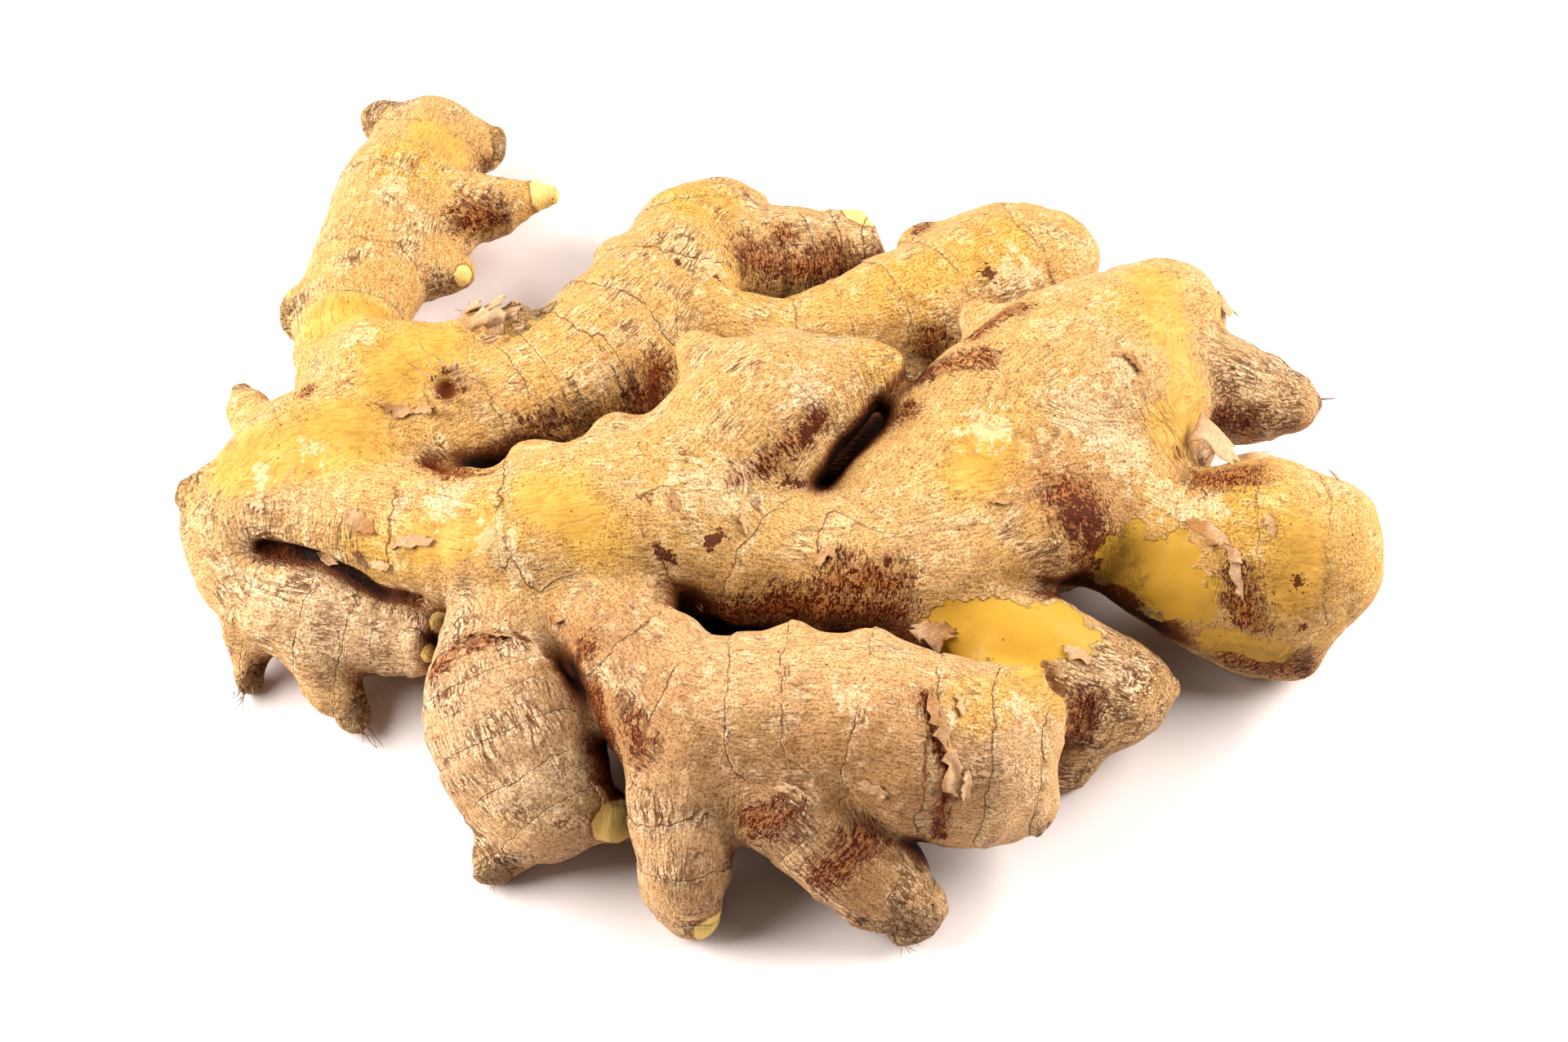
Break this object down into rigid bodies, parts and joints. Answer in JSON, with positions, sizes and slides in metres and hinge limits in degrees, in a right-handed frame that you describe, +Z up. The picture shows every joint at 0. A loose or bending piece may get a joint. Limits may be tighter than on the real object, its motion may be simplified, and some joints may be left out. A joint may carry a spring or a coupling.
{
  "type": "ginger root",
  "caption": "Whole fresh ginger root: a flat hand of swollen, branching fingers with growth rings and buds, for cooking, produce and kitchen scenes.",
  "frame": {"origin": "on the table, below the middle of the outline of the root as it lies", "axes": "+X along the hand from the finger that stands apart to the fattest finger, +Y towards the back row of fingers, +Z up from the table"},
  "size_m": [0.2004, 0.1696, 0.0451],
  "materials": {
    "ginger_skin": "thin dry papery skin over firm flesh, satin where it has rubbed off"
  },
  "bodies": {
    "root": {"rhizome": "ginger_skin"}
  },
  "joints": []
}
